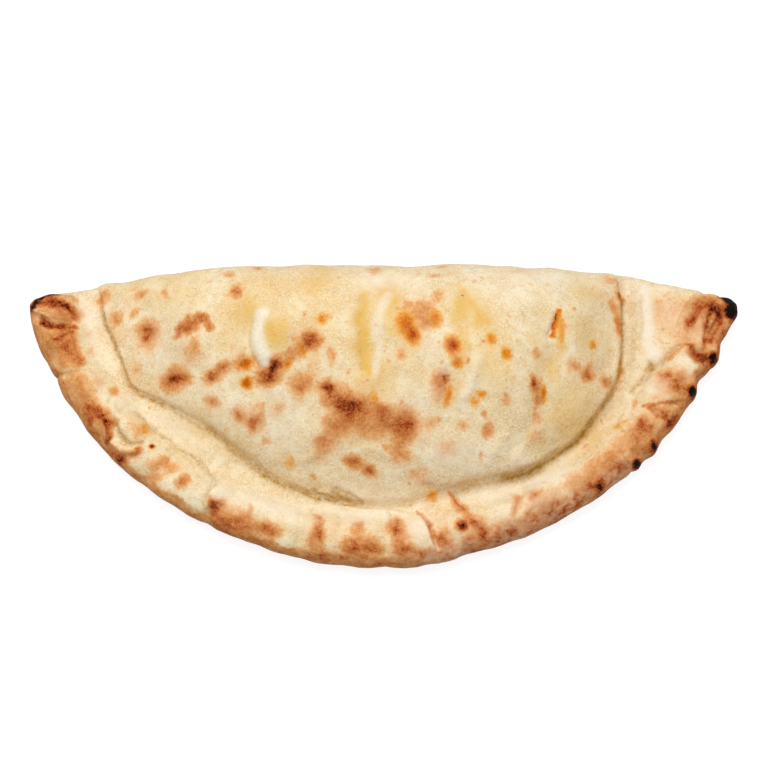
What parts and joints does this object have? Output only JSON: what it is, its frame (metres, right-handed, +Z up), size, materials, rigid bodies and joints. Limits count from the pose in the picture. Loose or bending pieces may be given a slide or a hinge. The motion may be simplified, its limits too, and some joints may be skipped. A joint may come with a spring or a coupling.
{
  "type": "calzone",
  "caption": "Whole baked calzone: half-moon of pizza dough folded over a filled pouch, with a pleated rim and two charred tips.",
  "frame": {"origin": "centre of the footprint's bounding box, on the flat underside that rests on a plate or board", "axes": "+X from the left tip to the right tip, +Y towards the fold at the back, +Z up"},
  "size_m": [0.3, 0.1258, 0.0429],
  "materials": {
    "baked_dough": "matte oven-baked pizza dough, pale cream with brown and charred blisters and a few oily patches"
  },
  "bodies": {
    "root": {"dough": "baked_dough"}
  },
  "joints": []
}
